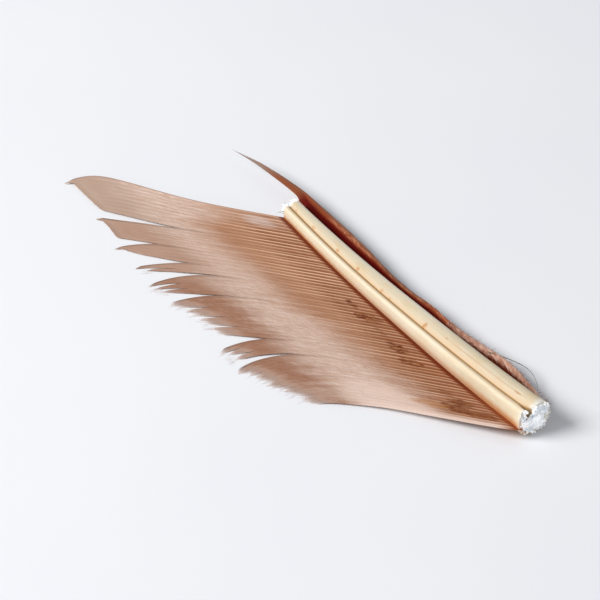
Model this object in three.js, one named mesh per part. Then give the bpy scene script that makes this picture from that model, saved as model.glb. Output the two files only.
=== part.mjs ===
// Cut section of a turkey wing feather, lying with its grooved underside up.
// Millimetres, +Z up.  The shaft runs along Y with its thin, tip-side cut at +Y.
// The wide vane grows out towards -X and the narrow vane towards +X.
// The origin is the middle of the small flat that the shaft rests on.
import * as THREE from 'three';

// ---- driving dimensions ---------------------------------------------------------------
const SHAFT_LENGTH = 64;
const HALF_LENGTH = SHAFT_LENGTH / 2;
// Lines along the shaft, each given at the base-side cut, the middle and the tip-side cut.
const LEFT_SIDE = [-2.3, -2.27, -1.85];
const GROOVE_LINE = [-0.58, -0.93, -0.56];
const RIGHT_SIDE = [3.4, 2.66, 1.83];
const SHAFT_HEIGHT = [5.85, 4.2, 3.4];
const BASE_LIFT = 0.6;           // the bowed shaft's ends stand this far off the surface
const TIP_LIFT = 1.5;
const ROOT_LIFT = 1.5;           // and the barbs' roots climb this far towards both ends
const REST_FLAT_HALF = 5;        // half length of the flat stretch under the shaft
const CUT_SET_BACK = 0.2;        // base-side cut: how far it stands in from the full length,
const CUT_SLANT = 0.08;          // how much further per mm of height
const CUT_SKEW = 0.15;           // and per mm from the right side to the left
const CUT_SLANT_REACH = 8;       // how far into the shaft the slanted rings go
const SHAFT_STEPS = 16;

const CLEARANCE = 0.3;           // gap between neighbouring pieces
const VANE_THICKNESS = 0.4;
const ROOT_HEIGHT = 1.0;         // barbs leave the shaft this far above its underside
const VANE_REST_HEIGHT = VANE_THICKNESS / 2;
const VANE_DIP_REACH = 17;       // the wide vane comes down to the surface this far out
const VANE_DIP_POWER = 1.15;

const BARB_SLOPE = 1.345;        // mm along the shaft per mm outwards, for the wide vane
const BEND_START = 10;           // barbs bend back towards the base past this
const BEND_LENGTH = 17;          // and have bent by their full amount this much further out
const FAN_REACH = 24;
const FAN_TIP_SIDE = 0.22;       // extra lean of the barbs beside the tip-side cut
const FAN_BASE_SIDE = 0.16;      // and of those beside the base-side cut

// ---- finishes ------------------------------------------------------------------------
const shaftHorn = new THREE.MeshStandardMaterial({ color: 0xf0d9be, roughness: 0.35, metalness: 0 });
const whitePith = new THREE.MeshStandardMaterial({ color: 0xf1f3f6, roughness: 0.95, metalness: 0 });
const vaneBrown = new THREE.MeshStandardMaterial({ color: 0xb8896e, roughness: 0.7, metalness: 0 });
const vaneRust = new THREE.MeshStandardMaterial({ color: 0x8c4b32, roughness: 0.7, metalness: 0 });

const { lerp, clamp, smoothstep } = THREE.MathUtils;

// ---- the shaft's own line ------------------------------------------------------------
// The value at y of a line that is given at the base-side cut, the middle and the tip-side cut.
function bowed([base, middle, tip], y) {
  const k = clamp(y / HALF_LENGTH, -1, 1);
  return middle + ((tip - base) / 2) * k + ((tip + base) / 2 - middle) * k * k;
}

// 0 on the flat stretch under the shaft, rising to 1 at both ends.
function bow(y) {
  const past = Math.max(0, Math.min(Math.abs(y), HALF_LENGTH) - REST_FLAT_HALF);
  return (past / (HALF_LENGTH - REST_FLAT_HALF)) ** 2;
}

const shaftLift = (y) => bow(y) * (y < 0 ? BASE_LIFT : TIP_LIFT);
const rootLift = (y) => bow(y) * ROOT_LIFT;

// ---- shaft: horn tube with a deep groove along its top ---------------------------------
// Sections are drawn in this frame, x across and y up, and then fitted between the lines.
const SECTION_HALF = 2.5;
const SECTION_TOP = 4.95;
const SECTION_GROOVE = -1.2;
const HORN_WALL = 0.45;
const PITH_CLEARANCE = 0.42;     // it shrinks to about the usual gap where the shaft is thin

function hornOutline() {
  const outline = new THREE.Shape();
  outline.moveTo(-1.0, 0);
  outline.lineTo(1.0, 0);
  outline.quadraticCurveTo(2.35, 0.05, 2.5, 1.9);
  outline.lineTo(2.45, 3.3);
  outline.quadraticCurveTo(2.35, 4.55, 1.5, 4.78);
  outline.quadraticCurveTo(0.3, 5.1, -0.75, 4.65);
  outline.lineTo(-1.08, 3.55);
  outline.lineTo(-1.35, 3.55);
  outline.lineTo(-1.5, 4.7);
  outline.quadraticCurveTo(-2.1, 5.05, -2.42, 4.2);
  outline.lineTo(-2.5, 1.7);
  outline.quadraticCurveTo(-2.35, 0.05, -1.0, 0);
  return outline;
}

// The pith fills the tube.  inset is how far it stays inside the horn's outer face.
function pithOutline(inset) {
  const side = SECTION_HALF - inset;
  const outline = new THREE.Path();
  outline.moveTo(-0.9, inset);
  outline.lineTo(0.9, inset);
  outline.quadraticCurveTo(side - 0.1, inset + 0.1, side, 1.9);
  outline.lineTo(side - 0.05, 3.2);
  outline.quadraticCurveTo(side - 0.1, 4.8 - inset, 1.3, 4.75 - inset);
  outline.lineTo(-0.7 + inset / 2, 4.7 - inset);
  outline.lineTo(-0.9, 3.5 - inset);
  outline.lineTo(-1.6, 3.5 - inset);
  outline.lineTo(-side, 3.7 - inset);
  outline.lineTo(-side, 1.8);
  outline.quadraticCurveTo(-side + 0.1, inset + 0.1, -0.9, inset);
  return outline;
}

// Stretches a section along the bowed, tapering shaft.
function shaftBody(outline) {
  const geometry = new THREE.ExtrudeGeometry(outline, {
    depth: SHAFT_LENGTH, steps: SHAFT_STEPS, bevelEnabled: false, curveSegments: 5,
  });
  const place = geometry.attributes.position;
  for (let i = 0; i < place.count; i += 1) {
    const y = HALF_LENGTH - place.getZ(i);
    const aside = place.getX(i) - SECTION_GROOVE;
    const groove = bowed(GROOVE_LINE, y);
    const toLeft = (groove - bowed(LEFT_SIDE, y)) / (SECTION_HALF + SECTION_GROOVE);
    const toRight = (bowed(RIGHT_SIDE, y) - groove) / (SECTION_HALF - SECTION_GROOVE);
    const x = groove + aside * (aside < 0 ? toLeft : toRight);
    const z = place.getY(i) * (bowed(SHAFT_HEIGHT, y) / SECTION_TOP);
    const intoCut = 1 - smoothstep(y, -HALF_LENGTH, -HALF_LENGTH + CUT_SLANT_REACH);
    const slant = CUT_SLANT * (z - bowed(SHAFT_HEIGHT, y) / 2);
    const skew = CUT_SKEW * (bowed(RIGHT_SIDE, y) - x);
    place.setXYZ(i, x, y + intoCut * (CUT_SET_BACK + slant + skew), z + shaftLift(y));
  }
  return geometry;
}

function shaft() {
  const outline = hornOutline();
  outline.holes.push(pithOutline(HORN_WALL));
  return shaftBody(outline);
}

function pith() {
  return shaftBody(new THREE.Shape(pithOutline(HORN_WALL + PITH_CLEARANCE).getPoints(5)));
}

// ---- thin curved sheets ----------------------------------------------------------------
// place(u, v, side) gives the point for u and v in 0..1 and side -1 below or 1 above.
function sheet(uSteps, vSteps, place) {
  const geometry = new THREE.BoxGeometry(1, 1, 1, uSteps, vSteps, 1);
  const corner = geometry.attributes.position;
  for (let i = 0; i < corner.count; i += 1) {
    const point = place(corner.getX(i) + 0.5, corner.getY(i) + 0.5, corner.getZ(i) * 2);
    corner.setXYZ(i, point.x, point.y, point.z);
  }
  return geometry;
}

// ---- wide vane -------------------------------------------------------------------------
// Each lock of zipped barbs runs from its lower edge to its upper edge along the shaft.
// Every pair below gives the lower edge's value first.  bend is how far back the edge has
// turned at its end and power says how late that bend comes.  reach is how far out the
// barbs end, at the lower edge, in the middle and at the upper edge.
const WIDE_LOCKS = [
  { root: [22.3, 32.0], bend: [-2.2, 5.4], power: [4.0, 3.0], reach: [23.2, 23.3, 24.1] },
  { root: [15.3, 22.3], bend: [1.7, 3.4], power: [2.4, 1.1], reach: [24.8, 24.5, 24.6] },
  { root: [11.1, 15.3], bend: [2.5, 6.4], power: [1.2, 3.0], reach: [25.0, 25.9, 26.5] },
  { root: [7.9, 11.1], bend: [6.4, 8.0], power: [2.4, 2.1], reach: [26.2, 26.5, 26.7] },
  { root: [1.5, 7.9], bend: [6.5, 9.9], power: [2.2, 2.1], reach: [27.1, 27.3, 27.6] },
  { root: [-11.0, 1.5], bend: [6.5, 9.0], power: [1.6, 2.1], reach: [24.8, 25.2, 26.9] },
  { root: [-15.8, -11.0], bend: [10.8, 11.3], power: [2.4, 2.0], reach: [26.5, 26.6, 26.7] },
  { root: [-32.0, -15.8], bend: [11.0, 12.3], power: [2.4, 2.0], reach: [21.8, 24.7, 26.9] },
];

// The first lock, beside the tip-side cut, arches towards the tip and a little off the
// surface, most at a centre this far out and less within a spread on either side of it.
const FIRST_LOCK_RISE = [0.1, 0.5];
const FIRST_LOCK_ARCH = [0.35, 3.6];
const ARCH_CENTRE = [21, 18.5];
const ARCH_INNER_SPREAD = [5, 6.5];
const ARCH_OUTER_SPREAD = [5, 5.5];

function arch(edge, out) {
  const aside = out - ARCH_CENTRE[edge];
  const spread = (aside < 0 ? ARCH_INNER_SPREAD : ARCH_OUTER_SPREAD)[edge];
  return Math.exp(-((aside / spread) ** 2));
}

// Barbs near the two cuts lean a little more tipwards than those in the middle.
function fan(rootY, out) {
  const lean = (rootY > 0 ? FAN_TIP_SIDE : FAN_BASE_SIDE) * (rootY / HALF_LENGTH) ** 2;
  return lean * FAN_REACH * (1 - Math.exp(-out / FAN_REACH));
}

function wideHeight(rootY, out) {
  const start = ROOT_HEIGHT + rootLift(rootY);
  const dip = Math.max(0, 1 - out / VANE_DIP_REACH) ** VANE_DIP_POWER;
  return VANE_REST_HEIGHT + (start - VANE_REST_HEIGHT) * dip;
}

// How far back towards the base one edge of a lock has turned.
function edgeBend(lock, edge, out) {
  const past = Math.max(0, out - BEND_START) / BEND_LENGTH;
  return lock.bend[edge] * past ** lock.power[edge];
}

// How far out the barbs end, u of the way from a lock's lower edge to its upper edge.
function lockReach(lock, u) {
  const [lower, middle, upper] = lock.reach;
  return u < 0.5 ? lerp(lower, middle, 2 * u) : lerp(middle, upper, 2 * u - 1);
}

function wideLock(lock, i) {
  const inset = (CLEARANCE / 2) * Math.hypot(1, BARB_SLOPE);
  const low = lock.root[0] + inset;
  const high = lock.root[1] - inset;
  const uSteps = Math.max(2, Math.round((high - low) / 2.2));
  return sheet(uSteps, 15, (u, v, side) => {
    const rootY = lerp(low, high, u);
    const out = lerp(CLEARANCE, lockReach(lock, u), v);
    const arched = [0, 1].map((edge) => (i === 0 ? arch(edge, out) : 0));
    const turned = [0, 1].map((edge) => edgeBend(lock, edge, out) - FIRST_LOCK_ARCH[edge] * arched[edge]);
    const y = rootY + BARB_SLOPE * out + fan(rootY, out) - lerp(turned[0], turned[1], u);
    const x = bowed(LEFT_SIDE, rootY) - out;
    const rise = lerp(FIRST_LOCK_RISE[0] * arched[0], FIRST_LOCK_RISE[1] * arched[1], u);
    const thickness = VANE_THICKNESS * lerp(1, 0.6, v);
    const middle = wideHeight(rootY, out) + rise - (VANE_THICKNESS - thickness) / 2;
    return new THREE.Vector3(x, y, middle + side * thickness / 2);
  });
}

// ---- narrow vane -----------------------------------------------------------------------
// It stands close along the shaft's other side and curls up into a lip.
const NARROW_ROOT_HEIGHT = [1.1, 0.6];  // at the base-side cut and at the tip-side cut
const LIP_HEIGHT = 3.0;
const BLADE_TIP = 53.4;          // the longest barbs pass the tip-side cut and end here
const SPLIT_SLANT = 3;           // a split runs this far tipwards from shaft to lip

const NARROW_LOCKS = [
  { name: 'narrow_vane_base', from: -31.5, to: -9, steps: 14 },
  { name: 'narrow_vane_middle', from: -9, to: 7, steps: 10 },
  { name: 'narrow_vane_tip', from: 7, to: BLADE_TIP, steps: 26 },
];

// The wavy lip, and past the cut the blade's free inner edge, as [y, x] along them.
const LIP_LINE = [
  [-32, 4.7], [-28.5, 5.0], [-25, 5.3], [-21.5, 5.8], [-18.5, 5.9], [-14.5, 5.3], [-8, 4.45],
  [-4.5, 4.35], [-1.5, 4.4], [2.5, 3.95], [7, 3.8], [11, 4.05], [16, 4.55], [22.7, 4.85],
  [29.9, 4.95], [33.8, 4.95], [38.2, 4.6], [42.1, 4.1], [46, 3.4], [49.9, 2.25], [53.6, 0.95],
];
const BLADE_INNER_LINE = [
  [32, 2.2], [34.5, 3.3], [37, 3.28], [40, 3.08], [44.9, 2.58], [49.3, 1.88], [53.6, 0.85],
];

// The value at y of a smooth line through [y, x] points.
function through(points, y) {
  const last = points.length - 1;
  let i = 0;
  while (i < last - 1 && y > points[i + 1][0]) i += 1;
  const slope = (n) => {
    const [before, after] = [points[Math.max(0, n - 1)], points[Math.min(last, n + 1)]];
    return (after[1] - before[1]) / (after[0] - before[0]);
  };
  const step = points[i + 1][0] - points[i][0];
  const t = clamp((y - points[i][0]) / step, 0, 1);
  const curve = step * t * (1 - t) * (slope(i) * (1 - t) - slope(i + 1) * t);
  return lerp(points[i][1], points[i + 1][1], t * t * (3 - 2 * t)) + curve;
}

// Inner edge: beside the shaft, then the free edge of the blade past the cut.
function rootX(y) {
  const side = bowed(RIGHT_SIDE, y) + CLEARANCE;
  return lerp(side, through(BLADE_INNER_LINE, y), smoothstep(y, HALF_LENGTH, HALF_LENGTH + 2.5));
}

function narrowLock(lock) {
  const isBlade = lock.to === BLADE_TIP;
  return sheet(3, lock.steps, (u, v, side) => {
    const start = lock.from + CLEARANCE / 2 + SPLIT_SLANT * u * (lock.from > -HALF_LENGTH + 1 ? 1 : 0);
    const end = lock.to - CLEARANCE / 2 + (isBlade ? 0 : SPLIT_SLANT * u);
    const y = lerp(start, end, v);
    const inner = rootX(y);
    const outer = Math.max(through(LIP_LINE, y), inner + 0.35);
    const tipwards = smoothstep(y, -HALF_LENGTH, HALF_LENGTH);
    const low = lerp(NARROW_ROOT_HEIGHT[0], NARROW_ROOT_HEIGHT[1], tipwards) + rootLift(y);
    const high = Math.max(low + 0.4, LIP_HEIGHT);
    const foot = lerp(low, high - 0.1, smoothstep(y, HALF_LENGTH - 3, HALF_LENGTH + 5));
    const blade = smoothstep(y, HALF_LENGTH, BLADE_TIP);
    const run = outer - inner;
    const climb = high - foot;
    const tilt = Math.atan2(climb * 2 * u, run);
    const half = side * VANE_THICKNESS * lerp(1, 0.6, blade) / 2;
    const x = inner + run * u - half * Math.sin(tilt);
    return new THREE.Vector3(x, y, foot + climb * u * u + half * Math.cos(tilt));
  });
}

// ---- assembly ----------------------------------------------------------------------------
const feather = new THREE.Group();

function add(name, geometry, material) {
  const mesh = new THREE.Mesh(geometry, material);
  mesh.name = name;
  feather.add(mesh);
}

add('shaft', shaft(), shaftHorn);
add('pith', pith(), whitePith);
WIDE_LOCKS.forEach((lock, i) => add(`wide_vane_lock_${i + 1}`, wideLock(lock, i), vaneBrown));
NARROW_LOCKS.forEach((lock) => add(lock.name, narrowLock(lock), vaneRust));

export default feather;
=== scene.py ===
import math
from collections import namedtuple

import bmesh
import bpy
import numpy as np
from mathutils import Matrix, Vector, noise


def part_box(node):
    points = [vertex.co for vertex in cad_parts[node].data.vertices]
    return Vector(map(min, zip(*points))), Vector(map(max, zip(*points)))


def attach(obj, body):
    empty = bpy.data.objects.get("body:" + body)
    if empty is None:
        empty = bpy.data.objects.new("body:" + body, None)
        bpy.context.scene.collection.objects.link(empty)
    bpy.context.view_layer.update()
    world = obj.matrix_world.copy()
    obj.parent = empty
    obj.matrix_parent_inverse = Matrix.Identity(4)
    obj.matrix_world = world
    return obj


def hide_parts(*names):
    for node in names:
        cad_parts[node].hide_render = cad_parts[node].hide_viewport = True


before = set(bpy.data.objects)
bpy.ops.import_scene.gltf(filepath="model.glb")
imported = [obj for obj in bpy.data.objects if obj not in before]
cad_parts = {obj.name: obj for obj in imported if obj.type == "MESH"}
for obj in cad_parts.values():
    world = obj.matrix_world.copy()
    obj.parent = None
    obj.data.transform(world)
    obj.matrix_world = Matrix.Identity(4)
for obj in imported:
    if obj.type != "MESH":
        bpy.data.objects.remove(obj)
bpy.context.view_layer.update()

# A cut length of a turkey's wing feather, lying with its grooved underside up.
# Lengths are millimetres in the frame's own axes, where nothing else is said; MM turns them
# into metres.
MM = 0.001

# ---- the shaft's own line --------------------------------------------------------------
HALF_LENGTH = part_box("shaft")[1].y / MM      # the tip-side cut is square to the shaft
# Three lines along the shaft, each as x at the base-side cut, the middle and the tip-side cut.
LEFT_SIDE = (-2.3, -2.27, -1.85)
GROOVE_LINE = (-0.58, -0.93, -0.56)
RIGHT_SIDE = (3.4, 2.66, 1.83)
SHAFT_HEIGHT = (5.85, 4.2, 3.4)      # at the same three places
BASE_LIFT = 0.6                      # the bowed shaft's ends stand this far off the surface
TIP_LIFT = 1.5
ROOT_LIFT = 1.5                      # and the barbs' roots climb this far towards both ends
REST_FLAT_HALF = 5                   # half of the flat stretch that the shaft rests on
CUT_SET_BACK = 0.2                   # base-side cut: how far it stands in from the full length,
CUT_SLANT = 0.08                     # how much further per mm of height
CUT_SKEW = 0.15                      # and per mm from the right side to the left
CUT_SLANT_REACH = 8                  # all of it fading out this far along


def smooth(low, high, x):
    """0 below low, 1 above high, and an even S between them."""
    t = np.clip((x - low) / (high - low), 0, 1)
    return t * t * (3 - 2 * t)


def lerp(a, b, t):
    """a where t is 0, b where t is 1."""
    return a + (b - a) * t


def bowed(line, y):
    """A line's value at y, from its values at the base-side cut, the middle and the tip-side cut."""
    base, middle, tip = line
    k = np.clip(y / HALF_LENGTH, -1, 1)
    return middle + (tip - base) / 2 * k + ((tip + base) / 2 - middle) * k * k


def bow(y):
    """0 on the flat stretch under the shaft, rising to 1 at both ends."""
    past = np.maximum(0, np.minimum(np.abs(y), HALF_LENGTH) - REST_FLAT_HALF)
    return (past / (HALF_LENGTH - REST_FLAT_HALF)) ** 2


def shaft_lift(y):
    """How far the shaft's underside stands off the surface."""
    return bow(y) * np.where(y < 0, BASE_LIFT, TIP_LIFT)


def root_lift(y):
    """How much higher the barbs leave the shaft than in the middle."""
    return bow(y) * ROOT_LIFT


# ---- finishes --------------------------------------------------------------------------
def paint(red, green, blue):
    """A colour given in display values from 0 to 255."""
    return tuple(
        (c / 255 / 12.92) if c / 255 <= 0.04045 else ((c / 255 + 0.055) / 1.055) ** 2.4
        for c in (red, green, blue)
    ) + (1.0,)


class Wire:
    """One output of a finish's nodes.  Arithmetic on it adds Math nodes."""

    def __init__(self, finish, socket):
        self.finish = finish
        self.socket = socket

    def maths(self, operation, *values):
        return self.finish.node("ShaderNodeMath", {"operation": operation}, dict(enumerate(values)))

    def __add__(self, other):
        return self.maths("ADD", self, other)

    __radd__ = __add__

    def __sub__(self, other):
        return self.maths("SUBTRACT", self, other)

    def __rsub__(self, other):
        return self.maths("SUBTRACT", other, self)

    def __mul__(self, other):
        return self.maths("MULTIPLY", self, other)

    __rmul__ = __mul__

    def __truediv__(self, other):
        return self.maths("DIVIDE", self, other)

    def __abs__(self):
        return self.maths("ABSOLUTE", self)

    def least(self, other):
        return self.maths("MINIMUM", self, other)

    def sine(self):
        return self.maths("SINE", self)


class Finish:
    """A node material that is built up by calls."""

    def __init__(self, name):
        self.material = bpy.data.materials.new(name)
        self.material.use_nodes = True
        self.tree = self.material.node_tree
        self.tree.nodes.clear()

    def node(self, kind, settings=None, inputs=None, output=0):
        made = self.tree.nodes.new(kind)
        for key, value in (settings or {}).items():
            setattr(made, key, value)
        for key, value in (inputs or {}).items():
            if isinstance(value, Wire):
                self.tree.links.new(value.socket, made.inputs[key])
            else:
                made.inputs[key].default_value = value
        return Wire(self, made.outputs[output])

    def measure(self, name):
        """A number that the mesh carries at each point."""
        return self.node("ShaderNodeAttribute", {"attribute_name": name}, output="Fac")

    def step(self, low, high, x):
        """0 where x is below low, 1 above high, smooth between them."""
        return self.node(
            "ShaderNodeMapRange",
            {"interpolation_type": "SMOOTHSTEP"},
            {"Value": x, "From Min": low, "From Max": high},
        )

    def fall(self, low, high, x):
        """1 where x is below low, 0 above high."""
        return 1 - self.step(low, high, x)

    def mix(self, share, first, second):
        """first where share is 0 and second where it is 1, as colours."""
        settings = {"data_type": "RGBA", "blend_type": "MIX", "clamp_factor": True}
        return self.node("ShaderNodeMix", settings, {0: share, 6: first, 7: second}, output=2)

    def place(self, x, y, z):
        return self.node("ShaderNodeCombineXYZ", None, {0: x, 1: y, 2: z})

    def grain(self, where, scale, detail=2.0, rough=0.5):
        """Noise from 0 to 1 at a place."""
        inputs = {"Vector": where, "Scale": scale, "Detail": detail, "Roughness": rough}
        return self.node("ShaderNodeTexNoise", None, inputs)

    def spot(self, x, y, x0, y0, x_size, y_size):
        """1 at x0, y0 and falling to nothing about one size away."""
        across = (x - x0) / x_size
        down = (y - y0) / y_size
        return self.fall(0.15, 1.0, across * across + down * down)

    def bump(self, height, strength, distance):
        inputs = {"Strength": strength, "Distance": distance, "Height": height}
        return self.node("ShaderNodeBump", None, inputs)

    def close(self, inputs):
        """Ends the nodes in one Principled shader with these sockets."""
        shader = self.node("ShaderNodeBsdfPrincipled", None, inputs)
        output = self.tree.nodes.new("ShaderNodeOutputMaterial")
        self.tree.links.new(shader.socket, output.inputs["Surface"])
        return self.material


# Horn and pith.
CREAM = paint(226, 208, 177)
CREAM_LIGHT = paint(234, 221, 194)
CREAM_YELLOW = paint(227, 201, 157)
AMBER = paint(216, 152, 98)
# Tan for painted shade on the right flank, and for a streak along the shaft.
SHADE_AND_STREAK_TAN = paint(218, 180, 152)
GROOVE_SHADE = paint(222, 194, 158)
GROOVE_TAN = paint(216, 180, 126)
SPECKLE = paint(202, 132, 44)
SCRAPED = paint(240, 236, 228)
# Painted light: a pale cream laid over the horn's flanks.
FLANK_PAINTED_LIGHT = paint(252, 238, 216)
# Olive-brown for the notch's hole: painted shade.
HOLE_SHADE_BROWN = paint(150, 118, 58)
PITH_WHITE = paint(255, 255, 255)
PITH_COOL = paint(236, 241, 247)
# The painted glow's darker colour, in the hollows between the pith's lumps.
PITH_SHADE = paint(120, 132, 148)

# The wide vane, from its ridges beside the shaft outwards, what has settled on it, and painted highlight
# and shade on its ridges, roots and edges.
# Along the ridges: the rami's own paler colour with a painted highlight on it.
RIDGE_PALE_AND_HIGHLIGHT = paint(222, 180, 150)
BARB_BROWN = paint(180, 126, 94)
BARB_PALE = paint(194, 150, 120)
BARB_DARK = paint(130, 78, 46)
BARB_RED = paint(150, 84, 44)
# The barbs' roots: their own orange-brown, darkened as painted shade where they meet the shaft.
ROOT_ORANGE = paint(110, 40, 2)
ROOT_BROWN = paint(138, 68, 32)
SHEEN_PINK = paint(221, 197, 184)
SHEEN_TAN = paint(200, 168, 149)
OUTER_GREY = paint(186, 157, 139)
OUTER_BROWN = paint(180, 144, 124)
OUTER_RED = paint(156, 108, 82)
PALE_EDGE = paint(232, 208, 195)
# Painted shade along the locks' free upper edges.
RIM_SHADE = paint(128, 98, 84)
DIRT = paint(106, 40, 14)
GOLD_DIRT = paint(152, 98, 46)
GOLD = paint(180, 122, 66)
DUST_GREY = paint(206, 184, 174)

# The narrow vane.
# Painted shade: the deep red low in the trough beside the shaft, in the shaft's shadow.
TROUGH_SHADE_RED = paint(108, 10, 2)
RUST_BODY = paint(148, 72, 38)
# Painted highlight: peach on the narrow vane's lip.
LIP_HIGHLIGHT_PEACH = paint(208, 144, 110)
LIP_BROWN = paint(124, 90, 72)
DOWN_BEIGE = paint(222, 184, 166)
DOWN_TAN = paint(184, 132, 108)
# Painted shade for the trough along the downy stretch.
DOWN_TROUGH_SHADE = paint(112, 44, 18)
BLADE_BROWN = paint(148, 84, 52)
BLADE_GREY = paint(158, 134, 120)

TABLE_WHITE = paint(248, 249, 253)
TABLE_COOL = paint(245, 247, 252)

# Hairs: the finish's name, its light and its dark paint, and how clear it is.
BEIGE_HAIR = ("beige_hair", paint(214, 182, 166), paint(156, 114, 94), 0.3)
BROWN_HAIR = ("brown_hair", paint(226, 204, 190), paint(196, 164, 146), 0.45)
WHITE_HAIR = ("white_hair", paint(246, 242, 238), paint(222, 206, 196), 0.0)
GREY_HAIR = ("grey_hair", paint(126, 122, 120), paint(84, 78, 76), 0.0)

# Noise waves to the metre, in the finishes that take it from the object's own place.
PITH_CELLS = 1700.0
PITH_LUMPS = 750.0
HAIR_CELLS = 900.0
TABLE_MOTTLE = 18.0

# Short brown dashes that run across the right lobe from the groove: place along the shaft,
# how far right of the groove they start and end, and how strong they are.
DASHES = ((30.5, 0.1, 0.9, 0.5), (25.5, 0.1, 1.1, 0.6), (18.6, 0.2, 1.0, 0.9), (13.0, 0.1, 1.1, 0.9),
          (6.3, 0.0, 0.9, 0.6), (4.0, 0.1, 0.6, 0.5), (-4.9, -0.2, 1.3, 1.0), (-9.8, 0.9, 1.5, 0.4))
DASH_HALF = 0.5

# Dirt caught in the barbs beside the shaft: how far out, the place along, its size both ways
# and its strength.
DIRT_SPOTS = (
    (2.7, 5.2, 0.6, 1.6, 0.7), (2.5, 1.2, 1.6, 1.8, 1.4), (3.0, -3.4, 0.5, 1.8, 0.3),
    (3.1, -8.2, 1.1, 2.2, 1.0), (3.4, -12.6, 1.4, 1.6, 1.1),
    (3.4, -21.8, 0.8, 1.8, 0.3), (3.2, -25.0, 1.5, 1.6, 0.8), (4.6, -27.2, 1.5, 1.8, 1.5),
    (2.6, -28.8, 1.8, 1.5, 1.3),
)


def horn_finish():
    f = Finish("cream_horn")
    x = f.measure("across")
    depth = f.measure("depth")
    y = f.measure("along")
    groove = f.measure("groove")
    beside = x - HORN_GROOVE
    long_grain = f.grain(f.place(x * 3.0, y * 0.12, groove), 1.6, 4.0, 0.6)
    fine_grain = f.grain(f.place(x * 9.0, y * 0.5, 0.0), 2.2, 3.0, 0.55)
    patches = f.grain(f.place(x * 0.5, y * 0.25, 7.0), 1.2, 2.0, 0.5)
    colour = f.mix(f.step(0.3, 0.7, long_grain), CREAM, CREAM_LIGHT)
    colour = f.mix(f.step(0.45, 0.7, patches) * 0.5, colour, CREAM_YELLOW)
    colour = f.mix(f.step(0.5, 0.75, fine_grain) * 0.3, colour, GROOVE_SHADE)
    colour = f.mix(f.fall(0.3, 1.1, abs(beside)) * 0.85, colour, GROOVE_SHADE)

    # The left flank, painted lighter: painted light.
    left_flank_light = f.fall(-2.2, -1.6, x) * f.step(-22.0, -8.0, y)
    colour = f.mix(left_flank_light * 0.4, colour, FLANK_PAINTED_LIGHT)
    left_foot = f.fall(1.7, 3.3, depth + 0.7 * (fine_grain - 0.5)) * f.fall(-1.6, -1.2, x)
    ends = f.step(10.0, 26.0, abs(y + 2.0))
    colour = f.mix(left_foot * (0.6 + 0.4 * ends), colour, AMBER)
    # The right lobe, painted lighter towards its right side: painted light.
    colour = f.mix(f.step(0.2, 1.7, x) * f.step(-18.0, 0.0, y) * 0.95, colour, FLANK_PAINTED_LIGHT)
    # The right flank's outer edge, painted tan: painted shade where the lobe turns away from the light.
    right_flank_shade = f.step(1.75, 2.3, x) * f.fall(4.1, 4.75, depth) * f.step(-4.0, 10.0, y)
    colour = f.mix(right_flank_shade * 0.85, colour, SHADE_AND_STREAK_TAN)
    second_line = f.spot(beside, y, 1.15, -19.0, 0.2, 12.0)
    colour = f.mix(second_line * 0.5, colour, SHADE_AND_STREAK_TAN)
    pit = f.spot(beside, y, 1.15, -27.0, 0.22, 1.0)
    colour = f.mix(pit * 0.5, colour, SPECKLE)
    colour = f.mix(groove, colour, GROOVE_TAN)

    dashes = 0.0
    for place, start, end, strength in DASHES:
        dash = f.spot(beside, y, (start + end) / 2, place, (end - start) / 2, DASH_HALF) * strength
        dashes = dash + dashes
    crumb = f.step(0.3, 0.55, f.grain(f.place(x, y, 3.0), 4.0, 3.0, 0.7))
    colour = f.mix(dashes * crumb * 0.85, colour, SPECKLE)
    scraped = f.step(HALF_LENGTH - 2.0, HALF_LENGTH - 1.0, -1 * y + 1.2 * (fine_grain - 0.5))
    colour = f.mix(scraped * (0.45 + 0.4 * f.step(2.6, 3.8, depth)), colour, SCRAPED)
    # The notch's hole at the base-side cut, painted olive-brown: painted shade inside it.
    hole_shade = f.spot(beside, y, 0.0, -31.2, 0.42, 1.5) * f.fall(4.3, 4.8, depth)
    colour = f.mix(hole_shade * 0.9, colour, HOLE_SHADE_BROWN)
    return f.close({
        "Base Color": colour,
        "Roughness": 0.47 + 0.14 * fine_grain,
        "Normal": f.bump(long_grain * 0.7 + fine_grain * 0.3, 0.3, 0.2 * MM),
        "Subsurface Weight": 0.12,
        "Subsurface Radius": (1.0, 0.6, 0.35),
        "Subsurface Scale": 0.0008,
    })


def pith_finish():
    f = Finish("white_pith")
    where = f.node("ShaderNodeTexCoord", output="Object")
    cells = f.grain(where, PITH_CELLS, 3.0, 0.55)
    colour = f.mix(f.step(0.3, 0.6, cells), PITH_COOL, PITH_WHITE)
    # The pith glows by emission though it is no lamp: a painted glow, darker between its lumps as painted
    # shade.
    lumps = f.grain(where, PITH_LUMPS, 3.0, 0.6)
    painted_glow = f.mix(f.step(0.4, 0.6, lumps), PITH_SHADE, PITH_WHITE)
    return f.close({
        "Base Color": colour,
        "Roughness": 0.85 + 0.1 * cells,
        "Normal": f.bump(cells, 0.25, 0.2 * MM),
        "Emission Color": painted_glow,
        "Emission Strength": 0.26,
        "Subsurface Weight": 0.6,
        "Subsurface Radius": (1.0, 1.0, 1.0),
        "Subsurface Scale": 0.0012,
    })


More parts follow.
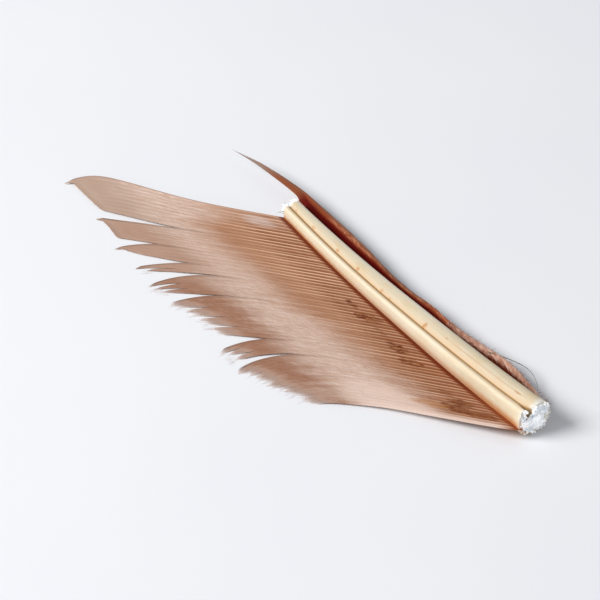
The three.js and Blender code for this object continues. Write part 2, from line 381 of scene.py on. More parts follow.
def wide_vane_finish():
    f = Finish("brown_barbs")
    out = f.measure("out")
    line = f.measure("line")
    ridge = f.measure("ridge")
    pick = f.measure("pick")
    tip = f.measure("tip")
    rim = f.measure("rim")
    side = f.measure("side")
    streak = f.grain(f.place(out * 0.3, line * 2.6, pick * 3.0), 1.3, 4.0, 0.62)
    thread = f.grain(f.place(out * 0.5, line * 9.0, 2.0), 1.2, 2.0, 0.5)
    cloud = f.grain(f.place(out * 0.3, line * 0.22, 4.0), 1.0, 3.0, 0.55)
    hatch = f.grain(f.place((out - line) * 2.6, (out + line) * 0.7, 6.0), 1.4, 3.0, 0.6)
    texture = 0.42 * streak + 0.24 * thread + 0.34 * hatch

    brown = f.mix(f.step(0.32, 0.66, texture), BARB_DARK, BARB_BROWN)
    low = f.fall(-2.0, 12.0, line)
    brown = f.mix(f.fall(1.5, 6.5, out) * (0.2 + 0.55 * low), brown, BARB_RED)
    paler = f.step(3.5, 6.5, out) * f.step(-19.0, -12.0, line)
    brown = f.mix(paler * 0.4, brown, BARB_PALE)
    crest_reach = 9.5 + 4.0 * pick
    near = f.fall(0.35, 1.0, out / crest_reach)
    # Beside each ridge, on the side away from the light, the barbs are painted dark: painted shade.
    valley_shade = f.step(0.25, 0.7, side) * near
    inner = f.mix(valley_shade * (0.75 - 0.4 * f.step(4.0, 7.0, out)), brown, BARB_DARK)
    # Along the ridge crests, the rami's own paler colour with a painted highlight on it.
    crest_pale_and_highlight = f.step(0.3, 0.9, ridge) * near * (1 - 0.25 * low)
    inner = f.mix(crest_pale_and_highlight * (0.6 + 0.4 * f.step(0.2, 0.6, pick)), inner, RIDGE_PALE_AND_HIGHLIGHT)

    wander = 1.5 * (pick - 0.5) + 2.4 * (cloud - 0.5) + 1.0 * (streak - 0.5)
    inwards = 1.5 * f.fall(-24.0, -6.0, line) + 1.0 * f.step(25.5, 30.0, line)
    inwards = inwards - 1.6 * f.step(-6.0, 1.0, line) * f.fall(23.5, 29.0, line)
    inwards = inwards - 0.9 * f.step(10.0, 16.0, line) * f.fall(24.0, 29.0, line)
    to_sheen = f.step(5.6, 12.6, out + inwards + wander)
    sheen = f.mix(f.step(0.42, 0.6, texture), SHEEN_TAN, SHEEN_PINK)
    tanner = f.step(2.0, 9.0, line) * f.fall(17.0, 24.0, line)
    sheen = f.mix(tanner * 0.3, sheen, SHEEN_TAN)
    inner = f.mix(f.step(26.0, 30.5, line) * 0.35, inner, SHEEN_TAN)
    colour = f.mix(to_sheen, inner, sheen)

    outer = f.mix(f.step(-2.0, 8.0, line), OUTER_RED, OUTER_BROWN)
    outer = f.mix(f.step(18.0, 23.0, line), outer, OUTER_GREY)
    outer = f.mix(f.step(0.44, 0.64, texture) * 0.35, outer, SHEEN_TAN)
    to_outer = f.step(14.3, 20.4, out + 3.4 * (cloud - 0.5) + 1.6 * (pick - 0.5))
    colour = f.mix(to_outer * (0.85 + 0.4 * (cloud - 0.3)).least(1.0), colour, outer)
    frayed = f.fall(-5.0, 2.0, line)
    towards_tip = f.fall(0.0, 1.0, tip / (2.2 + 2.2 * frayed))
    colour = f.mix(towards_tip * (0.12 + 0.6 * frayed), colour, PALE_EDGE)

    base_edge = f.fall(-31.4, -29.6, line + 1.2 * (streak - 0.5)) * f.step(0.4, 2.5, out)
    colour = f.mix(base_edge * f.fall(12.0, 18.0, out) * 0.85, colour, PALE_EDGE)
    pale_band = f.spot(out, line, 11.5, -28.5, 5.5, 7.0)
    colour = f.mix(pale_band * 0.6, colour, PALE_EDGE)
    dusty = f.spot(out, line, 3.6, 29.2, 2.2, 2.2)
    colour = f.mix(dusty * (0.25 + 0.5 * f.step(0.35, 0.6, streak)), colour, DUST_GREY)

    dirt = 0.0
    for x, y, x_size, y_size, strength in DIRT_SPOTS:
        dirt = f.spot(out, line, x, y, x_size, y_size) * strength + dirt
    crumbs = f.step(0.41, 0.57, f.grain(f.place(out * 0.9, line * 2.4, 9.0), 1.3, 4.0, 0.7))
    golden = f.fall(-22.0, -17.0, line)
    colour = f.mix((dirt * 1.4).least(1.0) * 0.4, colour, GOLD_DIRT)
    colour = f.mix((dirt * 1.7).least(1.0) * crumbs * (0.9 - 0.2 * golden), colour, DIRT)
    gold = f.spot(out, line, 7.0, -27.2, 2.2, 1.7)
    colour = f.mix(gold * (0.2 + 0.5 * crumbs), colour, GOLD)
    # Where the barbs meet the shaft, their roots' own orange-brown, darkened as painted shade.
    root_shade = f.mix(f.fall(-27.0, -16.0, line), ROOT_ORANGE, ROOT_BROWN)
    colour = f.mix(f.fall(0.3, 0.95, out) * 0.95, colour, root_shade)
    # Along each lock's free upper edge the barbs are painted darker, stronger towards the tips: painted
    # shade cast by the lock above and on the edge turning away from the light.
    rim_shade = f.fall(0.02, 0.36, rim) * (0.35 + 0.4 * f.fall(0.5, 5.0, tip))
    colour = f.mix(rim_shade, colour, RIM_SHADE)

    barbules = (out * 34.0 + line * 22.0).sine() * 0.5 + 0.5
    clear = (0.2 + 0.65 * frayed) * f.fall(0.0, 1.0, tip / (1.2 + 1.8 * frayed))
    return f.close({
        "Base Color": colour,
        "Roughness": 0.6 + 0.15 * streak,
        "Normal": f.bump(barbules * 0.3 + texture * 2.0, 0.35, 0.06 * MM),
        "Alpha": 1 - clear,
        "Specular IOR Level": 0.2,
    })


def narrow_vane_finish():
    f = Finish("rust_barbs")
    rise = f.measure("rise")
    line = f.measure("line")
    ridge = f.measure("ridge")
    pick = f.measure("pick")
    streak = f.grain(f.place(rise * 6.0, line * 0.45, pick * 3.0), 1.4, 3.0, 0.6)
    cloud = f.grain(f.place(rise, line * 0.3, 5.0), 1.0, 2.0, 0.5)
    middle = f.step(-8.0, -2.0, line) * f.fall(12.0, 18.0, line)
    up = rise + 0.16 * (streak - 0.5) - 0.1 * middle
    # Low in the trough beside the shaft, where the shaft's shadow falls, the vane is painted deep red:
    # painted shade.
    colour = f.mix(f.step(0.66, 0.8, up), TROUGH_SHADE_RED, RUST_BODY)
    # Streaks of peach along the lip, where it rises into the light: painted highlight.
    lip_highlight = f.step(0.74, 0.86, up) * f.step(0.38, 0.6, streak) * f.fall(23.0, 29.0, line)
    colour = f.mix(lip_highlight * 0.85, colour, LIP_HIGHLIGHT_PEACH)
    colour = f.mix(f.step(0.84, 0.97, rise) * f.step(-6.0, 6.0, line) * 0.8, colour, LIP_BROWN)
    blade = f.step(32.6, 36.5, line)
    colour = f.mix(blade * 0.95, colour, BLADE_BROWN)
    colour = f.mix(blade * f.step(0.45, 0.9, rise) * 0.7, colour, LIP_BROWN)
    colour = f.mix(f.step(39.5, 47.0, line), colour, BLADE_GREY)
    colour = f.mix(blade * f.step(0.5, 0.75, streak) * 0.4, colour, RUST_BODY)
    downy = f.fall(-8.5, -5.5, line)
    soft = f.mix(f.step(0.35, 0.65, streak), DOWN_TAN, DOWN_BEIGE)
    # On the downy stretch, the trough below the lip is painted dark brown: painted shade.
    colour = f.mix(downy, colour, DOWN_TROUGH_SHADE)
    colour = f.mix(downy * f.step(0.66, 0.83, up), colour, soft)
    clear = f.step(46.0, 54.0, line) * 0.35 + downy * f.step(0.85, 1.0, rise) * 0.4
    return f.close({
        "Base Color": colour,
        "Roughness": 0.55 + 0.2 * streak,
        "Normal": f.bump(streak + ridge * 0.3 + cloud, 0.3, 0.06 * MM),
        "Alpha": 1 - clear,
        "Specular IOR Level": 0.12,
    })


def hair_finish(name, light, dark, clear):
    f = Finish(name)
    where = f.node("ShaderNodeTexCoord", output="Object")
    cells = f.grain(where, HAIR_CELLS, 2.0, 0.5)
    colour = f.mix(f.step(0.3, 0.7, cells), dark, light)
    solid = 1 - clear * (0.6 + 0.8 * cells)
    return f.close({"Base Color": colour, "Roughness": 0.6 + 0.1 * cells, "Alpha": solid})


def table_finish():
    f = Finish("pale_table")
    where = f.node("ShaderNodeTexCoord", output="Object")
    mottle = f.grain(where, TABLE_MOTTLE, 3.0, 0.5)
    colour = f.mix(f.step(0.3, 0.7, mottle), TABLE_COOL, TABLE_WHITE)
    return f.close({"Base Color": colour, "Roughness": 0.5 + 0.05 * mottle})


# ---- meshes ----------------------------------------------------------------------------
SEED_STEP = 7.31                     # sets the waves of two seeds apart


def put(name, data):
    """A new object in the scene."""
    made = bpy.data.objects.new(name, data)
    bpy.context.scene.collection.objects.link(made)
    return made


def add_piece(name, points, faces, finish, stands_for=(), values=None, sharp=40):
    """One mesh piece of the feather, from points in millimetres."""
    mesh = bpy.data.meshes.new(name)
    mesh.from_pydata((np.asarray(points) * MM).tolist(), [], faces)
    work = bmesh.new()
    work.from_mesh(mesh)
    bmesh.ops.recalc_face_normals(work, faces=work.faces)
    work.to_mesh(mesh)
    work.free()
    for key, numbers in (values or {}).items():
        carried = mesh.attributes.new(key, "FLOAT", "POINT")
        carried.data.foreach_set("value", np.asarray(numbers, np.float32).ravel())
    mesh.shade_smooth()
    mesh.set_sharp_from_angle(angle=math.radians(sharp))
    mesh.materials.append(finish)
    made = put(name, mesh)
    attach(made, "root")
    if stands_for:
        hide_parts(*stands_for)
    return made


def tubes(rings):
    """Points and faces of closed tubes, from rings[tube, ring, point, xyz]."""
    count, length, round_count, _ = rings.shape
    tube = np.arange(count)[:, None, None] * (length * round_count)
    ring = np.arange(length - 1)[None, :, None] * round_count
    point = np.arange(round_count)[None, None, :]
    here = tube + ring + point
    beside = tube + ring + (point + 1) % round_count
    sides = np.stack([here, beside, beside + round_count, here + round_count], -1)
    faces = sides.reshape(-1, 4).tolist()
    for first in range(0, count * length * round_count, length * round_count):
        faces.append(list(range(first + round_count - 1, first - 1, -1)))
        last = first + (length - 1) * round_count
        faces.append(list(range(last, last + round_count)))
    return rings.reshape(-1, 3), faces


def ripple(seed, x, size):
    """Smooth random waves of about one unit, one number for each x."""
    waves = [noise.noise(Vector((v / size, seed * SEED_STEP, 0.5))) for v in np.ravel(x)]
    return np.array(waves).reshape(np.shape(x))


# ---- shaft -----------------------------------------------------------------------------
# The section at the base-side cut, as corners that are then rounded off.
HORN_CORNERS = (
    (-1.2, 0.0), (1.2, 0.0), (2.1, 0.45), (2.48, 1.6), (2.48, 3.2), (2.2, 4.3), (1.5, 4.85), (0.6, 5.0),
    (0.1, 4.88), (-0.15, 4.84), (-0.6, 4.6), (-0.95, 4.3), (-1.08, 4.0), (-1.2, 3.85), (-1.32, 4.0),
    (-1.36, 4.45), (-1.5, 4.76), (-1.95, 4.84), (-2.36, 4.35), (-2.5, 3.2), (-2.5, 1.6), (-2.15, 0.45),
)
HORN_GROOVE = -1.2                   # the groove's middle in that section
HORN_HALF = 2.5
HORN_TOP = 4.95
GROOVE_HALF = 0.27
GROOVE_WALL = (4.1, 4.85)            # its walls, from their foot to the lobes' tops
NOTCH_REACH = 2.4                    # the groove opens into a notch towards the base-side cut
NOTCH_OPEN = 0.4
NOTCH_SPREAD = 0.5
NOTCH_EASE = 0.08
NOTCH_FROM = 2.8                     # above this height the horn is drawn aside
NOTCH_DEEPER = 0.9
NOTCH_FLOOR_BELOW = 4.2              # below this one it also sinks
TORN_REACH = 3.0                     # low on its right the base-side cut is drawn in
TORN_IN = 0.7
FLARE = 0.03
FLARE_REACH = 2.5
NICK_OUTSIDE = 0.16
NICK_INSIDE = 0.1
NICK_REACH = 0.8
NICK_WAVE = 2.3                      # in points of the section
HORN_WALL = 0.34
SHAFT_RINGS = 150
INNER_RINGS = 40


def round_off(corners, times):
    """Cuts the corners of a closed outline, which rounds it."""
    line = np.array(corners, float)
    for _ in range(times):
        after = np.roll(line, -1, axis=0)
        line = np.stack([0.75 * line + 0.25 * after, 0.25 * line + 0.75 * after], 1).reshape(-1, 2)
    return line


def inset(outline, distance):
    """The same outline moved inwards, point by point."""
    ahead = np.roll(outline, -1, axis=0) - np.roll(outline, 1, axis=0)
    inward = np.stack([-ahead[:, 1], ahead[:, 0]], 1)
    return outline + distance * inward / np.linalg.norm(inward, axis=1, keepdims=True)


def along_shaft(section, y, end_shift=0.0):
    """Rings of a section at each y, fitted between the shaft's lines and slanted at the cut."""
    y = np.asarray(y, float)[:, None]
    across = section[None, :, 0]
    near_cut = 1 - smooth(-HALF_LENGTH, -HALF_LENGTH + NOTCH_REACH, y)
    aside = across - HORN_GROOVE
    notch = near_cut * np.exp(-((aside / NOTCH_SPREAD) ** 2)) * (section[None, :, 1] > NOTCH_FROM)
    left, groove, right = (bowed(line, y) for line in (LEFT_SIDE, GROOVE_LINE, RIGHT_SIDE))
    left_part = groove + aside / (HORN_HALF + HORN_GROOVE) * (groove - left)
    right_part = groove + aside / (HORN_HALF - HORN_GROOVE) * (right - groove)
    x = np.where(aside < 0, left_part, right_part) + NOTCH_OPEN * notch * np.tanh(aside / NOTCH_EASE)
    z = section[None, :, 1] * bowed(SHAFT_HEIGHT, y) / HORN_TOP
    z = z - NOTCH_DEEPER * notch * (section[None, :, 1] < NOTCH_FLOOR_BELOW)
    torn = 1 - smooth(-HALF_LENGTH, -HALF_LENGTH + TORN_REACH, y)
    torn = torn * np.clip(across / HORN_HALF, 0, 1) * np.clip(1 - 2 * section[None, :, 1] / HORN_TOP, 0, 1)
    x = x - TORN_IN * torn
    z = z + TORN_IN / 2 * torn
    into_cut = 1 - smooth(-HALF_LENGTH, -HALF_LENGTH + CUT_SLANT_REACH, y)
    slant = CUT_SLANT * (z - bowed(SHAFT_HEIGHT, y) / 2)
    set_back = into_cut * (CUT_SET_BACK + slant + CUT_SKEW * (right - x))
    return np.stack([x, y + set_back + end_shift, z + shaft_lift(y)], -1)


def flare(section, y):
    """The horn opens a little at both cuts."""
    middle = np.array([0.0, HORN_TOP / 2])
    return section + (section - middle) * FLARE * smooth(HALF_LENGTH - FLARE_REACH, HALF_LENGTH, abs(y))


def horn_shaft():
    """The horn tube: sections out along its outside and back along its inside, nicked at the cuts."""
    outer = round_off(HORN_CORNERS, 2)
    inner = inset(outer, HORN_WALL)
    count = len(outer)
    nick = ripple(3, np.arange(count), NICK_WAVE)
    outer_y = -HALF_LENGTH * np.cos(np.linspace(0, math.pi, SHAFT_RINGS))
    inner_y = HALF_LENGTH * np.cos(np.linspace(0, math.pi, INNER_RINGS))
    rings = []
    for places, section, rim in ((outer_y, outer, NICK_OUTSIDE), (inner_y, inner, NICK_INSIDE)):
        for y in places:
            near_end = smooth(HALF_LENGTH - NICK_REACH, HALF_LENGTH, abs(y))
            shift = near_end * rim * nick * math.copysign(1, y)
            rings.append(along_shaft(flare(section, y), [y], shift)[0])
    rings = np.array(rings)
    total = len(rings)
    ring = np.arange(total)[:, None] * count
    after = (np.arange(total)[:, None] + 1) % total * count
    point = np.arange(count)[None, :]
    beside = (point + 1) % count
    sides = np.stack([ring + point, ring + beside, after + beside, after + point], -1)
    faces = sides.reshape(-1, 4).tolist()
    across, depth = np.concatenate([np.tile(outer, (SHAFT_RINGS, 1)), np.tile(inner, (INNER_RINGS, 1))]).T
    groove = (np.abs(across - HORN_GROOVE) < GROOVE_HALF) * (1 - smooth(*GROOVE_WALL, depth))
    values = {"across": across, "depth": depth, "along": rings[:, :, 1], "groove": groove * 1.0}
    add_piece("horn_shaft", rings.reshape(-1, 3), faces, horn_finish(), ("shaft",), values, 50)


PITH_GAP = 0.02
PITH_PAST_BASE = 0.2                 # how far it stands out of both cuts before it crumbles
PITH_PAST_TIP = 0.35
PITH_RINGS = 60
PITH_CELL = 0.13
PITH_LOOSE = (2.2, 0.8)              # from this far before a cut it crumbles, fully from the second
PITH_HOLLOW = 1.1
PITH_CRUMBLE = 0.42
PITH_SEED = 31                       # without it the noise vectors are new in every run


def crumble(spot):
    """A push to some side, in large lumps with small ones on them."""
    return noise.noise_vector(Vector(spot * 1.3)) + 0.3 * noise.noise_vector(Vector(spot * 3.7))


def pith_core(finish):
    """The pith is built as one prism, remeshed into small cells and crumbled at both cuts."""
    section = inset(round_off(HORN_CORNERS, 1), HORN_WALL + PITH_GAP)
    y = np.linspace(-HALF_LENGTH - PITH_PAST_BASE, HALF_LENGTH + PITH_PAST_TIP, PITH_RINGS)
    rings = along_shaft(section, y)
    points, faces = tubes(rings[None])
    rough = bpy.data.meshes.new("pith_block")
    rough.from_pydata(points.tolist(), [], faces)
    block = put("pith_block", rough)
    cells = block.modifiers.new("cells", "REMESH")
    cells.mode = "VOXEL"
    cells.voxel_size = PITH_CELL
    made = bpy.data.meshes.new_from_object(block.evaluated_get(bpy.context.evaluated_depsgraph_get()))
    bpy.data.objects.remove(block)
    spots = np.array([v.co for v in made.vertices])
    loops = [list(p.vertices) for p in made.polygons]
    bpy.data.meshes.remove(made)
    near_cut = smooth(HALF_LENGTH - PITH_LOOSE[0], HALF_LENGTH - PITH_LOOSE[1], np.abs(spots[:, 1]))
    noise.seed_set(PITH_SEED)
    push = np.array([crumble(p) for p in spots])
    spots = spots + push * (PITH_CRUMBLE * near_cut)[:, None]
    hollows = np.array([noise.noise(Vector((p[0] * 0.9, 2.0, p[2] * 0.9))) for p in spots])
    spots[:, 1] -= np.sign(spots[:, 1]) * near_cut * PITH_HOLLOW * np.clip(hollows + 0.15, 0, 1)
    add_piece("pith_core", spots, loops, finish, ("pith",), sharp=180)


# At each end: its side, how many crumbs, how big, and how far they stand out past the cut.
CRUMBS = ((-1, 210, 0.27, 0.3), (1, 140, 0.3, 0.95))
AT_RIM = 0.72                        # this share of them clings to the horn's edge


def pith_crumbs(finish):
    """Torn bits of pith that cling to both cuts and over the horn's edge."""
    ball = bmesh.new()
    bmesh.ops.create_icosphere(ball, subdivisions=1, radius=1.0)
    shape = np.array([v.co for v in ball.verts])
    sides = [[v.index for v in face.verts] for face in ball.faces]
    ball.free()
    rng = np.random.default_rng(31)
    outline = round_off(HORN_CORNERS, 2)
    points, faces = [], []
    for end, count, big, past in CRUMBS:
        for _ in range(count):
            edge = outline[rng.integers(len(outline))]
            if end > 0 and edge[1] < HORN_TOP / 2:
                edge = edge * np.array([1, -1]) + np.array([0, HORN_TOP])
            inward = rng.uniform(0.0, 0.24) if rng.uniform() < AT_RIM else rng.uniform(0.24, 0.9)
            spot = edge + (np.array([0.2, HORN_TOP / 2]) - edge) * inward
            place = along_shaft(spot[None], [end * HALF_LENGTH])[0, 0]
            place[1] += end * rng.uniform(0.0, past)
            stretch = big * rng.uniform(0.35, 1.0) * rng.uniform(0.5, 1.2, 3)
            turn = np.linalg.qr(rng.normal(size=(3, 3)))[0]
            first = len(points) * len(shape)
            points.append(place + (shape * stretch * rng.uniform(0.7, 1.2, (len(shape), 1))) @ turn)
            faces += [[first + k for k in side] for side in sides]
    add_piece("pith_crumbs", np.concatenate(points), faces, finish, sharp=180)


# ---- wide vane -------------------------------------------------------------------------
BARB_SPACING = 1.07
BARB_SLOPE = 1.345
BEND_START = 10
BEND_LENGTH = 17
FAN_REACH = 24
FAN_TIP_SIDE = 0.22
FAN_BASE_SIDE = 0.16
ROOT_HEIGHT = 1.0
VANE_REST_HEIGHT = 0.32
TIP_REST_HEIGHT = 0.15
VANE_DIP_REACH = 17
VANE_DIP_POWER = 1.15
TIP_SINK = (17, 24)                  # between these distances out it sinks to its tips' height
FIRST_LOCK_RISE = (0.1, 0.5)         # the first lock arches a little off the surface
FIRST_LOCK_ARCH = (0.35, 3.6)        # and sideways, towards the tip, most at these distances out
ARCH_CENTRE = (21, 18.5)
ARCH_INNER_SPREAD = (5, 6.5)
ARCH_OUTER_SPREAD = (5, 5.5)

# Each lock of zipped barbs: roots from its lower to its upper edge, how far back each edge
# bends and how late, how far out the barbs end (lower, middle, upper), how many points its
# tip gathers into and how strongly, how long the barbs' own tips are, how frayed they are and
# how far the topmost barb stands out past the rest.
Lock = namedtuple("Lock", "root bend power reach points pinch tips frayed beak")
WIDE_LOCKS = (
    Lock((22.3, 32.0), (-2.2, 5.4), (4.0, 3.0), (23.2, 23.3, 23.4), 1, 0.0, 0.12, 0.05, 1.2),
    Lock((15.3, 22.3), (1.7, 3.4), (2.4, 1.1), (24.8, 24.5, 24.4), 1, 0.0, 0.12, 0.05, 0.7),
    Lock((11.1, 15.3), (2.5, 6.4), (1.2, 3.0), (25.0, 25.9, 26.5), 1, 0.2, 1.0, 0.3, 0.4),
    Lock((7.9, 11.1), (6.4, 8.0), (2.4, 2.1), (26.2, 26.5, 26.7), 2, 0.6, 1.5, 0.2, 0.4),
    Lock((1.5, 7.9), (6.5, 9.9), (2.2, 2.1), (27.1, 27.3, 27.6), 3, 0.7, 2.2, 0.3, 0.4),
    Lock((-11.0, 1.5), (6.5, 9.0), (1.6, 2.1), (24.8, 25.2, 26.9), 4, 0.3, 1.1, 0.5, 0.5),
    Lock((-15.8, -11.0), (10.8, 11.3), (2.4, 2.0), (26.5, 26.6, 26.7), 3, 0.55, 2.0, 0.5, 0.5),
    Lock((-32.0, -15.8), (11.0, 12.3), (2.4, 2.0), (21.8, 24.7, 26.9), 5, 0.15, 1.1, 0.55, 0.5),
)

# A barb's section: across from the base side to the tip side, above, and back below.
ACROSS = np.array([-1.0, -0.62, -0.32, -0.13, 0.13, 0.32, 0.62, 1.0, 0.85, 0.2, -0.2, -0.85])
CREST = np.array([0.0, 0.04, 0.28, 1.0, 1.0, 0.28, 0.04, 0.0, 0.0, -0.5, -0.5, 0.0])
FACE_UP = np.array([1, 1, 1, 1, 1, 1, 1, 1, -1, -1, -1, -1])
WEB_HALF = 0.025
SHINGLE = 0.045                      # each barb is tilted by this, to lie over the next one
SHINGLE_EASE = (8, 14)
OVERLAP = 1.12
EDGE_OVERLAP = 0.55
EDGE_FREE = 9.5                      # this far out a lock's upper edge comes free of the next
LOWER_EDGE_LIFT = 0.08
LOWER_EDGE_FREE = (9, 14)
BASE_CORNER = 0.9                    # the corner beside the base-side cut is set in by this
BASE_CORNER_REACH = 1.5
BARB_RINGS = 90
BARB_START = -0.35
BARB_THINNER = 0.93
RIDGE_HEIGHT = 0.28
RIDGE_LEAST = 0.015
BARB_SWAY = 0.1
BARB_WAVE = 0.04                     # both vanes' barbs wave up and down by this
PINCH_REACH = 6
PINCH_PULL = 2.0                     # at full pinch a point's lowest barb is shorter by this
BEAK_TAPER = 1.8


def fan(root, out):
    """How far towards the tip side the barbs near both cuts lean."""
    lean = np.where(root > 0, FAN_TIP_SIDE, FAN_BASE_SIDE) * (root / HALF_LENGTH) ** 2
    return lean * FAN_REACH * (1 - np.exp(-out / FAN_REACH))


def lock_bend(lock, share, out):
    """How far a lock's barbs bend back, with share from 0 at its lower edge to 1 at its upper."""
    past = np.maximum(0, out - BEND_START) / BEND_LENGTH
    lower = lock.bend[0] * past ** lock.power[0]
    upper = lock.bend[1] * past ** lock.power[1]
    return lerp(lower, upper, share)


def lock_reach(lock, share):
    return np.interp(share, (0, 0.5, 1), lock.reach)


def arch(size, share, out):
    """How far the first lock arches, from its size at the lower and the upper edge."""
    edges = []
    for edge in (0, 1):
        aside = out - ARCH_CENTRE[edge]
        spread = np.where(aside < 0, ARCH_INNER_SPREAD[edge], ARCH_OUTER_SPREAD[edge])
        edges.append(size[edge] * np.exp(-((aside / spread) ** 2)))
    return lerp(edges[0], edges[1], share)


def lock_height(index, share, root, out):
    """The vane dips from the shaft to just over the surface, and lower still at its tips."""
    start = ROOT_HEIGHT + root_lift(root)
    rest = lerp(VANE_REST_HEIGHT, TIP_REST_HEIGHT, smooth(*TIP_SINK, out))
    dip = np.clip(1 - out / VANE_DIP_REACH, 0, 1.1) ** VANE_DIP_POWER
    height = rest + (start - VANE_REST_HEIGHT) * dip
    if index == 0:
        height = height + arch(FIRST_LOCK_RISE, share, out)
    return height + LOWER_EDGE_LIFT * np.clip(1 - share, 0, 1) ** 3 * smooth(*LOWER_EDGE_FREE, out)


def wide_point(lock, index, root, out):
    """Where a point of the wide vane lies, and its line: its root less its bend."""
    low, high = lock.root
    share = (root - low) / (high - low)
    bend = lock_bend(lock, share, out)
    if index == 0:
        bend = bend - arch(FIRST_LOCK_ARCH, share, out)
    x = bowed(LEFT_SIDE, root) - out
    y = root + BARB_SLOPE * out + fan(root, out) - bend
    if index == len(WIDE_LOCKS) - 1:
        corner = np.clip(1 - share, 0, 1) ** 4 * np.exp(-np.maximum(out, 0) / BASE_CORNER_REACH)
        y = y + BASE_CORNER * corner
    return x, y, lock_height(index, share, root, out), root - bend


def wide_barb(lock, index, number, count, rng):
    """One barb's rings, and what its finish measures at each of their points."""
    low, high = lock.root
    half = (high - low) / count / 2
    share = (number + 0.5) / count
    centre = lerp(low, high, share)
    reach = lock_reach(lock, share) + lock.frayed * rng.uniform(-0.6, 0.5)
    pick = rng.uniform()
    tip_length = lock.tips * rng.uniform(0.7, 1.2)
    group = math.floor(share * lock.points)
    reach -= PINCH_PULL * lock.pinch * (1 - (share * lock.points - group))
    if number == count - 1:
        reach += lock.beak
        tip_length = max(tip_length, BEAK_TAPER * lock.beak)
    gather_to = lerp(low, high, (group + rng.uniform(0.7, 0.9)) / lock.points)
    out = (BARB_START + (reach - BARB_START) * np.linspace(0, 1, BARB_RINGS))[:, None]
    taper = 1 - BARB_THINNER * smooth(reach - tip_length, reach + 0.3, out)
    pinch = lock.pinch * smooth(reach - PINCH_REACH, reach, out)
    sway = BARB_SWAY * ripple(index * 31 + number, out, 4.0) * smooth(2, 12, out)
    middle = lerp(centre, gather_to, pinch) + sway
    across = ACROSS[None, :] * OVERLAP * taper * (1 - pinch * 0.5)
    if number == 0 and index < len(WIDE_LOCKS) - 1:
        across = across * np.where(ACROSS < -0.5, 1 + EDGE_OVERLAP * taper, 1)
    if number == count - 1 and index > 0:
        across = across * np.where(ACROSS > 0.5, 1 + EDGE_OVERLAP * taper, 1)
    root = middle + half * across
    x, y, z, line = wide_point(lock, index, root, out)
    thin = np.clip(1 - out / reach, 0, 1)
    ridge_height = (RIDGE_HEIGHT * thin ** 1.2 + RIDGE_LEAST) * rng.uniform(0.6, 1.3)
    ridge_height = ridge_height * smooth(-0.1, 1.3, out)
    shingle = SHINGLE * (1 - 0.6 * smooth(*SHINGLE_EASE, out)) * taper
    z = z + FACE_UP * WEB_HALF + shingle * ACROSS + CREST * ridge_height
    z = z + BARB_WAVE * ripple(index * 57 + number, out, 6.0)
    size = x.shape
    values = {
        "out": np.broadcast_to(out, size),
        "line": line,
        "ridge": np.broadcast_to(np.clip(CREST, 0, 1), size),
        "side": np.broadcast_to(ACROSS * (FACE_UP > 0), size),
        "pick": np.full(size, pick),
        "tip": np.broadcast_to(reach - out, size),
        "rim": rim_distance(lock, root, out),
    }
    return np.stack([x, y, z], -1), values


def rim_distance(lock, root, out):
    """How far below a lock's free upper edge a point lies, and far where the edge isn't free."""
    inside = np.maximum(0, lock.root[1] - root)
    free_from = 0.0 if lock.root[1] >= HALF_LENGTH - 0.5 else EDGE_FREE
    return inside + 3 * (1 - smooth(free_from, free_from + 3, out))


def add_barbs(name, made, finish, node):
    """One piece of a vane, from its barbs' rings and their measures."""
    points, faces = tubes(np.array([rings for rings, _ in made]))
    values = {key: np.array([measures[key] for _, measures in made]) for key in made[0][1]}
    add_piece(name, points, faces, finish, (node,), values, 60)


def wide_vane(finish):
    rng = np.random.default_rng(11)
    for index, lock in enumerate(WIDE_LOCKS):
        low, high = lock.root
        count = max(3, round((high - low) / BARB_SPACING))
        made = [wide_barb(lock, index, number, count, rng) for number in range(count)]
        add_barbs(f"wide_barbs_{index + 1}", made, finish, f"wide_vane_lock_{index + 1}")


# ---- narrow vane -----------------------------------------------------------------------
# Its lip, and past the cut the blade's free inner edge, as places along and across.
LIP_LINE = (
    (-32, 4.7), (-28.5, 5.0), (-25, 5.3), (-21.5, 5.8), (-18.5, 5.9), (-14.5, 5.3), (-8, 4.45),
    (-4.5, 4.35), (-1.5, 4.4), (2.5, 3.95), (7, 3.8), (11, 4.05), (16, 4.55), (22.7, 4.85),
    (29.9, 4.95), (33.8, 4.95), (38.2, 4.6), (42.1, 4.1), (46, 3.4), (49.9, 2.25), (53.6, 0.95),
)
BLADE_INNER_LINE = (
    (32, 2.2), (34.5, 3.3), (37, 3.28), (40, 3.08), (44.9, 2.58), (49.3, 1.88), (53.6, 0.85),
)
NARROW_ROOT_HEIGHT = (1.1, 0.6)      # at the base and at the tip side, before root_lift raises it
NARROW_ROOT_IN = 0.1                 # the barbs start this far inside the shaft's side
NARROW_LEAST = 0.05                  # the blade is never narrower than this
LIP_HEIGHT = 3.0
BLADE_TIP = 54.2
# Each stretch of the narrow vane: its barbs' first and last root, and the solid it stands for.
NARROW_ROOTS = {
    "narrow_barbs_base": (-31.6, -9.0, "narrow_vane_base"),
    "narrow_barbs_middle": (-9.0, 7.0, "narrow_vane_middle"),
    "narrow_barbs_tip": (7.0, 31.8, "narrow_vane_tip"),
}
NARROW_LENGTH = BLADE_TIP - HALF_LENGTH
NARROW_BASE_LENGTH = 6.0
NARROW_TURN = 1.5                    # how strongly barbs turn along the lip as they reach it
NARROW_PER_BARB = 2.2                # this many of them to one of the wide vane's
NARROW_RINGS = 80
NARROW_HALF = 0.16
NARROW_BASE_WIDER = 1.2
NARROW_WEB_HALF = 0.02
NARROW_CREST = 0.06


